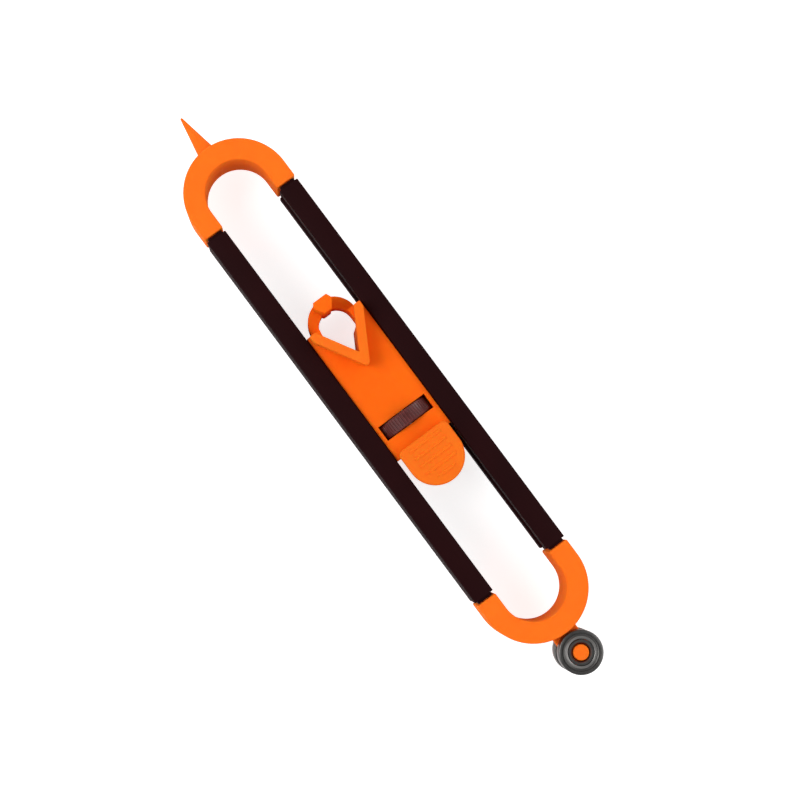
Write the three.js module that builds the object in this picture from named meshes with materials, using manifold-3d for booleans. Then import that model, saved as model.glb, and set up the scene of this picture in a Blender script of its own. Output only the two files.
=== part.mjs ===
// Contour gauge for scribing. A flat frame has two channel rails joined by two moulded end caps.
// One cap carries a pointer, the other a pair of ball bearings side by side. A carriage slides between
// the rails, holds an upright pencil in a V-shaped jaw and brakes itself with a sprung thumb lever.
// Lengths are in millimetres. X runs across the frame, Y along it towards the pointer and Z through it.
// The origin lies under the middle of the whole tool, on the surface that the tool lies on.
import * as THREE from 'three';
import { mergeVertices } from 'three/addons/utils/BufferGeometryUtils.js';
import Module from 'manifold-3d';

const wasm = await Module();
wasm.setup();

// Driving dimensions of the whole tool. The frame is 37 wide with the carriage and rails given here.
const overallLength = 231;
const overallHeight = 29;
const carriageWidth = 21.8;
const railWidth = 7.3;
const frameThickness = 18;
const pointerLength = 15;
const wheelDiameter = 15;
const pencilHoleDiameter = 12;
const capLegLength = 6.2;
const clearance = 0.3;
const overrun = 1;

// Levels and stations that several pieces share
const frameBottom = (overallHeight - frameThickness) / 2;
const frameTop = frameBottom + frameThickness;
const middleHeight = overallHeight / 2;
const carriageHalfWidth = carriageWidth / 2;
const windowRadius = carriageHalfWidth + clearance;
const frameRadius = windowRadius + railWidth;
const wheelRadius = wheelDiameter / 2;
const wheelToCap = 0.75;
const wheelCentre = wheelRadius - overallLength / 2;
const pointerArc = overallLength / 2 - pointerLength - frameRadius;
const wheelArc = wheelCentre + wheelRadius + wheelToCap + frameRadius;

// Rails
const railWall = 1.6;
const railSlotHeight = 8;
const railEdge = 0.5;
const railNeckLength = 1;
const railNeckInset = 0.9;
const slotLow = middleHeight - railSlotHeight / 2;
const slotHigh = middleHeight + railSlotHeight / 2;

// Carriage: its origin is the centre of the pencil hole, and it reaches from its head to its tail
const carriageStation = 27.3;
const carriageSink = 1.3;
const carriageSkin = 2.5;
const carriageHead = 2.1;
const tongueGrip = 1.1;
const carriageTop = frameTop - carriageSink;
const carriageUnderside = carriageTop - carriageSkin;
const baseTop = frameBottom - clearance;
const tongueEnd = windowRadius + railWall + tongueGrip;

// Pencil hole, with the ring round it and the tooth that the pencil leans on
const holeRadius = pencilHoleDiameter / 2;
const holeVHalfAngle = Math.PI / 6;
const holeVLength = 11.5;
const holeVBlunt = 0.8;
const holeRelief = 1.6;
const ringWall = 2.8;
const ringOffset = 1.6;
const ringDrop = 4.2;
const ringThickness = 6.5;
const toothCrownHalfWidth = 2.6;
const toothHalfWidth = 3.3;
const toothTipHalfWidth = 1.4;
const toothSetback = 0.4;
const toothBevel = 1.4;
const toothFlank = 0.8;
const toothReach = 0.9;
const toothDrop = 0.5;
const holeVertex = -holeRadius - holeVLength;
const holeEnd = holeVertex + holeVBlunt;
const ringRadius = holeRadius + ringWall;
const ringTop = carriageTop - ringDrop;
const ringBottom = ringTop - ringThickness;

// Jaw and its screw. The jaw opens and closes along Y from where it stands here.
const jawOpening = 1.6;
const jawClosing = 7.5;
const jawNeckWall = 1.65;
const jawBar = 3;
const jawArmLength = 13.7;
const jawNose = 1.1;
const jawInset = 0.8;
const jawBlockInset = 3.9;
const jawBlockSetback = 1;
const jawBlockLength = 16;
const jawBlockLift = 2.5;
const jawBoreWall = 0.8;
const screwRadius = 2;
const screwRise = 1;
const neckVertex = holeVertex + clearance / Math.sin(holeVHalfAngle) + jawOpening;
const neckEnd = holeEnd + clearance + jawOpening;
const jawVertex = neckVertex + jawNeckWall / Math.sin(holeVHalfAngle);
const jawTips = jawVertex + jawArmLength;
const jawHalfWidth = carriageHalfWidth - jawInset;
const jawBlockHigh = jawVertex - jawBlockSetback;
const jawBlockLow = jawBlockHigh - jawBlockLength;
const jawBlockHalfWidth = carriageHalfWidth - jawBlockInset;
const jawBayLow = jawBlockLow - jawOpening - clearance;
const jawBayHigh = jawBlockHigh + jawClosing + clearance;
const screwAxisHeight = middleHeight + screwRise;
const screwHead = jawBlockHigh - jawBoreWall - clearance - jawOpening;

// Thumbwheel, between the wall that divides it from the jaw and the wall behind it
const knobThickness = 4.9;
const knobInset = 1.4;
const knobRidges = 54;
const knobRidgeHeight = 0.35;
const knobEdge = 0.4;
const knobFrontWall = 4.6;
const knobBackWall = 2;
const knobRadius = carriageHalfWidth - knobInset;
const knobBayHigh = jawBayLow - knobFrontWall;
const knobBayLow = knobBayHigh - knobThickness - 2 * clearance;
const knobStation = (knobBayLow + knobBayHigh) / 2;
const leverBayEnd = knobBayLow - knobBackWall;
const screwTail = leverBayEnd + clearance;

// Thumb lever, with the bar that reaches into the rails
const barDepth = 3;
const barThickness = 2.5;
const barGap = 0.6;
const tailWall = 1.8;
const leverOverlap = 2.1;
const leverLength = 17.8;
const leverRise = 2;
const leverPlate = 2.8;
const leverInset = 1.15;
const leverCorner = 2;
const leverEdge = 0.5;
const barFar = leverBayEnd - barGap;
const barNear = barFar - barDepth;
const carriageTail = barNear - tailWall;
const leverHead = carriageTail + leverOverlap;
const leverTail = leverHead - leverLength;
const leverHalfWidth = carriageHalfWidth - leverInset;
const leverTop = frameTop + leverRise;
const leverUnderside = leverTop - leverPlate;

// Ribs of the thumb lever and grooves of the finger rest
const gripRibs = 5;
const gripPitch = 3;
const gripMargin = 3.7;
const gripInset = 3.5;
const gripRoundInset = 2.9;
const gripHeight = 0.4;
const gripHalfWidth = 0.55;
const gripCrestHalfWidth = 0.25;

// Pivot of the thumb lever: ears on the carriage base, the lever's nose between them and a pin
const pivotSetback = 2.4;
const pivotDrop = 1.5;
const pinRadius = 1;
const pinInset = 0.1;
const restInset = 1.75;
const earGap = 0.5;
const earRadius = 2.4;
const earInset = 0.1;
const earThickness = 2.2;
const pivotStation = carriageTail - pivotSetback;
const pivotHeight = middleHeight - pivotDrop;
const restHalfWidth = leverHalfWidth - restInset;
const earOuter = restHalfWidth - earInset;
const earInner = earOuter - earThickness;
const noseHalfWidth = earInner - 2 * clearance;

// Brake pads under the ends of the lever's bar
const padThickness = 1;
const padInset = 0.2;
const padSetback = 0.5;
const padBottom = slotLow + clearance;
const padInner = windowRadius + padInset;
const padOuter = tongueEnd - padSetback;
const barBottom = padBottom + padThickness + clearance;
const barTop = barBottom + barThickness;

// Finger rest and the spring that stands on it
const restThickness = 3;
const springInset = 4.8;
const springCoilRadius = 2.7;
const springWireRadius = 0.35;
const springCurls = 9;
const bossHeight = 2;
const springStation = leverTail + springInset;
const bossRadius = springCoilRadius - springWireRadius - clearance;

// A press swings the lever's boss towards the tail, so the boss stands half of that way off the
// spring's axis, and is slimmer by as much
const leverPressAngle = THREE.MathUtils.degToRad(7);
const bossSwing = (leverUnderside - pivotHeight) * Math.sin(leverPressAngle);
const leverBossRadius = bossRadius - bossSwing / 2;
const leverBossStation = springStation + bossSwing / 2;

// Screws that close the carriage, near its sides
const coverScrewInset = 2.1;
const coverScrewFromVertex = 6.5;
const coverScrewRadius = 0.8;
const coverScrewLength = 12.5;
const coverScrewHeadRadius = 1.5;
const coverScrewHeadHeight = 1.4;
const coverScrewRecess = 2.2;
const coverScrewHeadTop = coverScrewRecess - clearance;
const coverScrewHeadBottom = coverScrewHeadTop - coverScrewHeadHeight;
const coverScrewTip = coverScrewHeadBottom + coverScrewLength;

const plastic = (color) => new THREE.MeshStandardMaterial({ color, roughness: 0.45, metalness: 0 });
const metal = (color, roughness) => new THREE.MeshStandardMaterial({ color, roughness, metalness: 1 });
const orange = plastic(0xff7a21);
const deepOrange = plastic(0xff6e12);
const darkPlastic = plastic(0x3a2623);
const rubber = new THREE.MeshStandardMaterial({ color: 0x1c1c1c, roughness: 0.9, metalness: 0 });
const blackAnodised = metal(0x1d181a, 0.5);
const bearingSteel = metal(0x77787a, 0.35);
const shieldSteel = metal(0x5d5f61, 0.45);
const platedSteel = metal(0xa9abad, 0.3);
const springSteel = metal(0x8d8f91, 0.35);

// A closed three.js geometry as a solid that can be joined and cut
function solidOf(geometry) {
  const bare = geometry.clone();
  bare.deleteAttribute('normal');
  bare.deleteAttribute('uv');
  const merged = mergeVertices(bare);
  const vertProperties = new Float32Array(merged.attributes.position.array);
  const triVerts = new Uint32Array(merged.index.array);
  return new wasm.Manifold(new wasm.Mesh({ numProp: 3, vertProperties, triVerts }));
}

// The solid's surface as a flat-shaded three.js geometry
function geometryOf(solid) {
  const mesh = solid.getMesh();
  const geometry = new THREE.BufferGeometry();
  geometry.setAttribute('position', new THREE.BufferAttribute(mesh.vertProperties, mesh.numProp));
  geometry.setIndex(new THREE.BufferAttribute(mesh.triVerts, 1));
  const flat = geometry.toNonIndexed();
  flat.computeVertexNormals();
  return flat;
}

const join = (...solids) => solids.reduce((sum, solid) => sum.add(solid));
const cut = (body, ...tools) => tools.reduce((rest, tool) => rest.subtract(tool), body);

function extrusion(shape, depth, edge, curveSegments) {
  return new THREE.ExtrudeGeometry(shape, {
    depth: depth - 2 * edge,
    bevelEnabled: edge > 0,
    bevelThickness: edge,
    bevelSize: edge,
    bevelOffset: -edge,
    bevelSegments: 1,
    curveSegments,
  });
}

// A plan outline in X and Y raised from one height to another, with its edges chamfered
function upright(shape, low, high, edge = 0, curveSegments = 12) {
  const geometry = extrusion(shape, high - low, edge, curveSegments);
  geometry.translate(0, 0, low + edge);
  return solidOf(geometry);
}

// A cross-section in X and Z drawn along Y
function lengthwise(shape, start, end, edge = 0, curveSegments = 12) {
  const geometry = extrusion(shape, end - start, edge, curveSegments);
  geometry.rotateX(Math.PI / 2);
  geometry.translate(0, end - edge, 0);
  return solidOf(geometry);
}

// A side profile in Y and Z drawn along X, the same distance to each side
function crosswise(shape, halfWidth) {
  const geometry = extrusion(shape, 2 * halfWidth, 0, 12);
  geometry.translate(0, 0, -halfWidth);
  const yAxis = new THREE.Vector3(0, 1, 0);
  const zAxis = new THREE.Vector3(0, 0, 1);
  const xAxis = new THREE.Vector3(1, 0, 0);
  geometry.applyMatrix4(new THREE.Matrix4().makeBasis(yAxis, zAxis, xAxis));
  return solidOf(geometry);
}

function block(left, right, near, far, low, high) {
  const geometry = new THREE.BoxGeometry(right - left, far - near, high - low);
  geometry.translate((left + right) / 2, (near + far) / 2, (low + high) / 2);
  return solidOf(geometry);
}

function polygon(points) {
  return new THREE.Shape(points.map(([x, y]) => new THREE.Vector2(x, y)));
}

// Round bars along each axis, centred on a point of the plane that they cross
function barUp(radius, low, high, x, y, sides = 20) {
  const geometry = new THREE.CylinderGeometry(radius, radius, high - low, sides);
  geometry.rotateX(Math.PI / 2);
  geometry.translate(x, y, (low + high) / 2);
  return solidOf(geometry);
}

function barAlong(radius, start, end, x, z, sides = 20) {
  const geometry = new THREE.CylinderGeometry(radius, radius, end - start, sides);
  geometry.translate(x, (start + end) / 2, z);
  return solidOf(geometry);
}

function barAcross(radius, halfLength, y, z, sides = 16) {
  const geometry = new THREE.CylinderGeometry(radius, radius, 2 * halfLength, sides);
  geometry.rotateZ(Math.PI / 2);
  geometry.translate(0, y, z);
  return solidOf(geometry);
}

// A closed profile of radius and height turned about Z
function turned(points, segments) {
  const closed = [...points, points[0]].map(([radius, height]) => new THREE.Vector2(radius, height));
  const geometry = new THREE.LatheGeometry(closed, segments);
  geometry.rotateX(Math.PI / 2);
  return solidOf(geometry);
}

function piece(name, solid, material) {
  const mesh = new THREE.Mesh(geometryOf(solid), material);
  mesh.name = name;
  return mesh;
}

// Rails: channels whose slots face each other, stepped down where they meet the caps
function railSection(side, inset) {
  const inner = windowRadius;
  const outer = frameRadius - inset;
  const low = frameBottom + inset;
  const high = frameTop - inset;
  const edge = railEdge;
  const hollowInner = windowRadius + railWall;
  const hollowOuter = frameRadius - railWall;
  const hollowLow = frameBottom + railWall;
  const hollowHigh = frameTop - railWall;
  const points = [
    [inner, low + edge],
    [inner + edge, low],
    [outer - edge, low],
    [outer, low + edge],
    [outer, high - edge],
    [outer - edge, high],
    [inner + edge, high],
    [inner, high - edge],
    [inner, slotHigh],
    [hollowInner, slotHigh],
    [hollowInner, hollowHigh],
    [hollowOuter, hollowHigh],
    [hollowOuter, hollowLow],
    [hollowInner, hollowLow],
    [hollowInner, slotLow],
    [inner, slotLow],
  ];
  return polygon(points.map(([x, z]) => [side * x, z]));
}

function rail(name, side) {
  const start = wheelArc + capLegLength + clearance;
  const end = pointerArc - capLegLength - clearance;
  const body = lengthwise(railSection(side, 0), start + railNeckLength, end - railNeckLength);
  const neck = lengthwise(railSection(side, railNeckInset), start, end);
  return piece(name, join(body, neck), blackAnodised);
}

// End caps, drawn with the centre of their arc at the origin and their legs towards -Y
const capEdge = 0.5;
const capSegments = 24;

function capArch() {
  const shape = new THREE.Shape();
  shape.moveTo(frameRadius, -capLegLength);
  shape.lineTo(frameRadius, 0);
  shape.absarc(0, 0, frameRadius, 0, Math.PI, false);
  shape.lineTo(-frameRadius, -capLegLength);
  shape.lineTo(-windowRadius, -capLegLength);
  shape.absarc(0, 0, windowRadius, Math.PI, 0, true);
  shape.lineTo(windowRadius, -capLegLength);
  shape.closePath();
  return upright(shape, frameBottom, frameTop, capEdge, capSegments);
}

// The tongues slip into the rails' hollows, behind the space that the carriage's tongues use
function capTongues() {
  const length = 8;
  const inner = tongueEnd + clearance;
  const outer = frameRadius - railWall - clearance;
  const low = frameBottom + railWall + clearance;
  const high = frameTop - railWall - clearance;
  const near = -capLegLength - length;
  const far = overrun - capLegLength;
  return join(block(inner, outer, near, far, low, high), block(-outer, -inner, near, far, low, high));
}

function pointerEndCap() {
  const root = 2;
  const flareRadius = 3.9;
  const flareDrop = 0.8;
  const flareRise = 0.9;
  const baseRadius = 2.9;
  const tipRadius = 0.3;
  const profile = [
    [0, frameRadius - root],
    [flareRadius, frameRadius - root],
    [flareRadius, frameRadius - flareDrop],
    [baseRadius, frameRadius + flareRise],
    [tipRadius, frameRadius + pointerLength],
    [0, frameRadius + pointerLength],
  ];
  const points = profile.map(([radius, height]) => new THREE.Vector2(radius, height));
  const pointer = new THREE.LatheGeometry(points, 24);
  pointer.translate(0, 0, middleHeight);
  const cap = piece('pointer_end_cap', join(capArch(), capTongues(), solidOf(pointer)), orange);
  cap.position.y = pointerArc;
  return cap;
}

// The arm stands between the two bearings, with a stub axle and a low collar on each side
const armThickness = 4;
const armHalfWidth = 4.6;
const collarRadius = 4;
const collarHeight = 0.3;
const bearingWidth = 5;
const bearingBoreRadius = 3.05;
const stubGap = 0.25;
const bearingStart = armThickness / 2 + collarHeight + clearance;

function wheelEndCap() {
  const root = 2;
  const reach = wheelArc - wheelCentre;
  const stubRadius = bearingBoreRadius - stubGap;
  const shape = new THREE.Shape();
  shape.moveTo(armHalfWidth, frameRadius - root);
  shape.lineTo(armHalfWidth, reach);
  shape.absarc(0, reach, armHalfWidth, 0, Math.PI, false);
  shape.lineTo(-armHalfWidth, frameRadius - root);
  shape.closePath();
  const arm = upright(shape, middleHeight - armThickness / 2, middleHeight + armThickness / 2);
  const collarReach = armThickness / 2 + collarHeight;
  const stubReach = bearingStart + bearingWidth;
  const collars = barUp(collarRadius, middleHeight - collarReach, middleHeight + collarReach, 0, reach, 28);
  const stubs = barUp(stubRadius, middleHeight - stubReach, middleHeight + stubReach, 0, reach, 28);
  const cap = piece('wheel_end_cap', join(capArch(), capTongues(), arm, collars, stubs), orange);
  cap.position.y = wheelArc;
  cap.rotation.z = Math.PI;
  return cap;
}

// One shielded ball bearing, drawn about the origin with its axis along Z
const ballCount = 7;
const ballRadius = 1.1;
const ballPitchRadius = 5.2;
const innerRingRadius = 4.3;
const outerRingBore = 6;
const grooveDepthInner = 0.45;
const grooveDepthOuter = 0.6;
const grooveHalfWidth = 1.3;
const grooveFloorHalfWidth = 0.7;
const shieldSeatRadius = 6.35;
const shieldSeatDepth = 0.7;
const shieldThickness = 0.3;
const shieldInset = 0.2;
const shieldInnerRadius = 4.6;
const shieldGap = 0.2;
const bearingSegments = 28;

function outerRing() {
  const half = bearingWidth / 2;
  const edge = 0.3;
  const seat = half - shieldSeatDepth;
  const profile = [
    [shieldSeatRadius, -half],
    [wheelRadius - edge, -half],
    [wheelRadius, edge - half],
    [wheelRadius, half - edge],
    [wheelRadius - edge, half],
    [shieldSeatRadius, half],
    [shieldSeatRadius, seat],
    [outerRingBore, seat],
    [outerRingBore, grooveHalfWidth],
    [outerRingBore + grooveDepthOuter, grooveFloorHalfWidth],
    [outerRingBore + grooveDepthOuter, -grooveFloorHalfWidth],
    [outerRingBore, -grooveHalfWidth],
    [outerRingBore, -seat],
    [shieldSeatRadius, -seat],
  ];
  return turned(profile, bearingSegments);
}

function innerRing() {
  const half = bearingWidth / 2;
  const edge = 0.2;
  const profile = [
    [bearingBoreRadius, edge - half],
    [bearingBoreRadius + edge, -half],
    [innerRingRadius, -half],
    [innerRingRadius, -grooveHalfWidth],
    [innerRingRadius - grooveDepthInner, -grooveFloorHalfWidth],
    [innerRingRadius - grooveDepthInner, grooveFloorHalfWidth],
    [innerRingRadius, grooveHalfWidth],
    [innerRingRadius, half],
    [bearingBoreRadius + edge, half],
    [bearingBoreRadius, half - edge],
  ];
  return turned(profile, 24);
}

function shield(side) {
  const middle = side * (bearingWidth / 2 - shieldInset - shieldThickness / 2);
  const low = middle - shieldThickness / 2;
  const high = middle + shieldThickness / 2;
  const outer = shieldSeatRadius - shieldGap;
  const profile = [
    [shieldInnerRadius, low],
    [outer, low],
    [outer, high],
    [shieldInnerRadius, high],
  ];
  return turned(profile, bearingSegments);
}

function ballPlaces() {
  const places = [];
  for (let index = 0; index < ballCount; index += 1) {
    const angle = (2 * Math.PI * index) / ballCount;
    places.push(new THREE.Vector3(Math.cos(angle), Math.sin(angle), 0).multiplyScalar(ballPitchRadius));
  }
  return places;
}

function ball(place) {
  const geometry = new THREE.IcosahedronGeometry(ballRadius, 1);
  geometry.translate(place.x, place.y, place.z);
  return solidOf(geometry);
}

function cage() {
  const halfHeight = 1.65;
  const halfWall = 0.2;
  const pocketGap = 0.25;
  const pocketRadius = ballRadius + pocketGap;
  const profile = [
    [ballPitchRadius - halfWall, -halfHeight],
    [ballPitchRadius + halfWall, -halfHeight],
    [ballPitchRadius + halfWall, halfHeight],
    [ballPitchRadius - halfWall, halfHeight],
  ];
  const pockets = ballPlaces().map((place) => {
    const pocket = new THREE.CylinderGeometry(pocketRadius, pocketRadius, 2 * overrun, 10);
    pocket.rotateZ(Math.PI / 2);
    pocket.rotateZ(Math.atan2(place.y, place.x));
    pocket.translate(place.x, place.y, place.z);
    return solidOf(pocket);
  });
  return cut(turned(profile, bearingSegments), ...pockets);
}

function bearing(prefix, side) {
  const group = new THREE.Group();
  group.add(piece(`${prefix}_bearing_outer_ring`, outerRing(), bearingSteel));
  group.add(piece(`${prefix}_bearing_inner_ring`, innerRing(), bearingSteel));
  group.add(piece(`${prefix}_bearing_upper_shield`, shield(1), shieldSteel));
  group.add(piece(`${prefix}_bearing_lower_shield`, shield(-1), shieldSteel));
  group.add(piece(`${prefix}_bearing_cage`, cage(), platedSteel));
  ballPlaces().forEach((place, index) => {
    group.add(piece(`${prefix}_bearing_ball_${index + 1}`, ball(place), platedSteel));
  });
  group.position.set(0, wheelCentre, middleHeight + side * (bearingStart + bearingWidth / 2));
  return group;
}

// The pencil hole is round at the tooth and narrows to a blunt V that the jaw covers
function pencilHole(low, high) {
  const shoulder = holeVertex + holeRadius / Math.tan(holeVHalfAngle);
  const endHalfWidth = holeVBlunt * Math.tan(holeVHalfAngle);
  const shape = new THREE.Shape();
  shape.moveTo(-endHalfWidth, holeEnd);
  shape.lineTo(endHalfWidth, holeEnd);
  shape.lineTo(holeRadius, shoulder);
  shape.absarc(0, 0, holeRadius, 0, Math.PI, false);
  shape.lineTo(-holeRadius, shoulder);
  shape.closePath();
  return upright(shape, low, high, 0, 20);
}

// Behind the ring the hole opens out, so that only the ring and the V guide the pencil
function holeRoom() {
  return barUp(holeRadius + holeRelief, -overrun, ringBottom, 0, 0, 40);
}

// The tooth stands on the ring and reaches as high as the jaw
function tooth() {
  const crown = ringOffset + ringRadius - toothSetback;
  const shoulder = crown - toothBevel;
  const waist = shoulder - toothFlank;
  const tip = holeRadius - toothReach;
  return upright(polygon([
    [-toothCrownHalfWidth, crown],
    [-toothHalfWidth, shoulder],
    [-toothHalfWidth, waist],
    [-toothTipHalfWidth, tip],
    [toothTipHalfWidth, tip],
    [toothHalfWidth, waist],
    [toothHalfWidth, shoulder],
    [toothCrownHalfWidth, crown],
  ]), ringBottom, overallHeight - toothDrop);
}

// One pair of screws beside the pencil hole and one in the wall in front of the thumbwheel
function coverScrewPlaces() {
  const x = carriageHalfWidth - coverScrewInset;
  const upper = holeVertex + coverScrewFromVertex;
  const lower = (jawBayLow + knobBayHigh) / 2;
  return [[-x, upper], [x, upper], [-x, lower], [x, lower]];
}

function coverScrewHoles(low, high) {
  return coverScrewPlaces().map(([x, y]) => barUp(coverScrewRadius + clearance, low, high, x, y, 12));
}

// The front half of the carriage: a skin with side walls, the pencil ring, its tooth and the side tongues
function carriageBody() {
  const half = carriageHalfWidth;
  const open = frameBottom - overrun;
  const above = carriageTop + overrun;
  const shell = block(-half, half, carriageTail, carriageHead, frameBottom, carriageTop);
  const ring = barUp(ringRadius, ringBottom, ringTop, 0, ringOffset, 48);
  const tongueStart = leverBayEnd + clearance;
  const tongueLow = slotLow + clearance;
  const tongueHigh = slotHigh - clearance;
  const tongues = block(-tongueEnd, tongueEnd, tongueStart, carriageHead, tongueLow, tongueHigh);
  const jawRoom = jawBlockHalfWidth + clearance;
  const jawBay = block(-jawRoom, jawRoom, jawBayLow, jawBayHigh, open, carriageUnderside);
  const knobRoom = knobRadius + clearance;
  const knobBay = block(-knobRoom, knobRoom, knobBayLow, knobBayHigh, open, carriageUnderside);
  const knobSlot = block(-knobRadius, knobRadius, knobBayLow, knobBayHigh, open, above);
  const bayMargin = 0.5;
  const leverRoom = noseHalfWidth + bayMargin;
  const leverBay = block(-leverRoom, leverRoom, carriageTail - overrun, leverBayEnd, open, carriageUnderside);
  const barTravel = 2.4;
  const sides = half + overrun;
  const windowNear = barNear - bayMargin;
  const windowFar = barFar + bayMargin;
  const windowLow = slotLow - bayMargin;
  const brakeWindow = block(-sides, sides, windowNear, windowFar, windowLow, barTop + barTravel);
  const screwBore = barAlong(screwRadius + clearance, leverBayEnd - overrun, jawBlockLow, 0, screwAxisHeight);
  const body = cut(
    join(shell, ring, tongues),
    pencilHole(open, above),
    holeRoom(),
    jawBay,
    knobBay,
    knobSlot,
    leverBay,
    brakeWindow,
    screwBore,
    ...coverScrewHoles(open, coverScrewTip + clearance),
  );
  return piece('carriage_body', join(body, tooth()), deepOrange);
}

// The outline of the thumb lever and of the narrower finger rest: square shoulders and a round end
function thumbOutline(halfWidth, head) {
  const roundCentre = leverTail + leverHalfWidth;
  const corner = leverCorner;
  const shape = new THREE.Shape();
  shape.moveTo(-halfWidth, roundCentre);
  shape.absarc(0, roundCentre, halfWidth, -Math.PI, 0, false);
  shape.absarc(halfWidth - corner, head - corner, corner, 0, Math.PI / 2, false);
  shape.absarc(corner - halfWidth, head - corner, corner, Math.PI / 2, Math.PI, false);
  shape.closePath();
  return shape;
}

// Low ribs across a surface at the given height, shorter towards the round end. A negative rise makes
// them grooves to be cut.
function gripBars(height, rise) {
  const root = -Math.sign(rise) * gripHeight;
  const bars = [];
  for (let index = 0; index < gripRibs; index += 1) {
    const centre = leverTail + gripMargin + index * gripPitch;
    const profile = polygon([
      [centre - gripHalfWidth, height + root],
      [centre + gripHalfWidth, height + root],
      [centre + gripHalfWidth, height],
      [centre + gripCrestHalfWidth, height + rise],
      [centre - gripCrestHalfWidth, height + rise],
      [centre - gripHalfWidth, height],
    ]);
    bars.push(crosswise(profile, leverHalfWidth - gripInset));
  }
  const field = thumbOutline(leverHalfWidth - gripRoundInset, leverHead);
  const depth = 2 * gripHeight;
  return join(...bars).intersect(upright(field, height - depth, height + depth, 0, 24));
}

// The back half of the carriage closes the shell, carries the pivot ears and ends in a finger rest
function carriageBase() {
  const half = carriageHalfWidth;
  const plate = block(-half, half, carriageTail, carriageHead, 0, baseTop);
  const restHead = carriageTail + leverCorner + overrun;
  const rest = upright(thumbOutline(restHalfWidth, restHead), 0, restThickness, 0, 16);
  const earNear = pivotStation - earRadius;
  const earFar = carriageTail - earGap;
  const earTop = pivotHeight + earRadius;
  const leftEar = block(-earOuter, -earInner, earNear, earFar, 0, earTop);
  const rightEar = block(earInner, earOuter, earNear, earFar, 0, earTop);
  const boss = barUp(bossRadius, 0, restThickness + bossHeight, 0, springStation, 14);
  const recesses = coverScrewPlaces().map(([x, y]) =>
    barUp(coverScrewHeadRadius + clearance, -overrun, coverScrewRecess, x, y, 16));
  const knobRoom = barAlong(knobRadius + clearance, knobBayLow, knobBayHigh, 0, screwAxisHeight, 40);
  const body = cut(
    join(plate, rest, leftEar, rightEar, boss),
    pencilHole(-overrun, baseTop + overrun),
    holeRoom(),
    barAcross(pinRadius + clearance, earOuter + overrun, pivotStation, pivotHeight),
    knobRoom,
    gripBars(0, gripHeight),
    ...coverScrewHoles(-overrun, baseTop + overrun),
    ...recesses,
  );
  return piece('carriage_base', body, deepOrange);
}

// Small screws with a cross cut in each head
function coverScrews() {
  const crossHalfWidth = 0.25;
  const crossReach = 1;
  const crossDepth = 0.5;
  const low = coverScrewHeadBottom - overrun;
  const high = coverScrewHeadBottom + crossDepth;
  return coverScrewPlaces().map(([x, y], index) => {
    const head = barUp(coverScrewHeadRadius, coverScrewHeadBottom, coverScrewHeadTop, x, y, 16);
    const shank = barUp(coverScrewRadius, coverScrewHeadBottom, coverScrewTip, x, y, 10);
    const across = block(x - crossReach, x + crossReach, y - crossHalfWidth, y + crossHalfWidth, low, high);
    const along = block(x - crossHalfWidth, x + crossHalfWidth, y - crossReach, y + crossReach, low, high);
    return piece(`cover_screw_${index + 1}`, cut(join(head, shank), across, along), platedSteel);
  });
}

// The V that grips the pencil stands above the carriage; its neck goes down through the pencil hole,
// and a block below the skin holds it in place and takes the screw
function pencilJaw() {
  const slope = Math.tan(holeVHalfAngle);
  const reach = jawArmLength + 2 * carriageWidth;
  const wedge = (vertex) => polygon([
    [0, vertex],
    [reach * slope, vertex + reach],
    [-reach * slope, vertex + reach],
  ]);
  const barBottom = carriageTop + clearance;
  const outerVertex = jawVertex - jawBar / Math.sin(holeVHalfAngle);
  const noseCentre = outerVertex + jawNose / Math.sin(holeVHalfAngle);
  const outerWedge = new THREE.Shape();
  outerWedge.moveTo(-reach * slope, outerVertex + reach);
  outerWedge.absarc(0, noseCentre, jawNose, holeVHalfAngle - Math.PI, -holeVHalfAngle, false);
  outerWedge.lineTo(reach * slope, outerVertex + reach);
  outerWedge.lineTo(-reach * slope, outerVertex + reach);
  const armLimits = block(
    -jawHalfWidth,
    jawHalfWidth,
    outerVertex,
    jawTips,
    barBottom - overrun,
    overallHeight + overrun,
  );
  const bar = upright(outerWedge, barBottom, overallHeight, 0, 6).intersect(armLimits);

  // The neck's far end is round, so that it meets the round end of the hole when the jaw is closed
  const neckHalf = holeRadius - clearance;
  const neckOutline = new THREE.Shape();
  neckOutline.moveTo(neckHalf, neckEnd);
  neckOutline.lineTo(neckHalf, -jawClosing);
  neckOutline.absarc(0, -jawClosing, neckHalf, 0, Math.PI, false);
  neckOutline.lineTo(-neckHalf, neckEnd);
  neckOutline.closePath();
  const neckTop = barBottom + overrun;
  const neck = upright(neckOutline, clearance, neckTop, 0, 16)
    .intersect(upright(wedge(neckVertex), clearance, neckTop));
  const nutBlock = block(
    -jawBlockHalfWidth,
    jawBlockHalfWidth,
    jawBlockLow,
    jawBlockHigh,
    frameBottom + jawBlockLift,
    carriageUnderside - clearance,
  );
  const notch = upright(wedge(jawVertex), -overrun, overallHeight + overrun);
  const boreEnd = jawBlockHigh - jawBoreWall;
  const bore = barAlong(screwRadius + clearance, jawBlockLow - overrun, boreEnd, 0, screwAxisHeight);
  return piece('pencil_jaw', cut(join(bar, neck, nutBlock), notch, bore), orange);
}

function jawScrew() {
  return piece('jaw_screw', barAlong(screwRadius, screwTail, screwHead, 0, screwAxisHeight), platedSteel);
}

// The thumbwheel turns about the screw and has straight ridges on its rim
function thumbwheel() {
  const points = [];
  for (let index = 0; index < 2 * knobRidges; index += 1) {
    const angle = (Math.PI * index) / knobRidges;
    const radius = knobRadius - (index % 2) * knobRidgeHeight;
    points.push([radius * Math.cos(angle), screwAxisHeight + radius * Math.sin(angle)]);
  }
  const half = knobThickness / 2;
  const rim = lengthwise(polygon(points), knobStation - half, knobStation + half, knobEdge);
  const bore = barAlong(
    screwRadius + clearance,
    knobStation - half - overrun,
    knobStation + half + overrun,
    0,
    screwAxisHeight,
  );
  return piece('thumbwheel', cut(rim, bore), darkPlastic);
}

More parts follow.
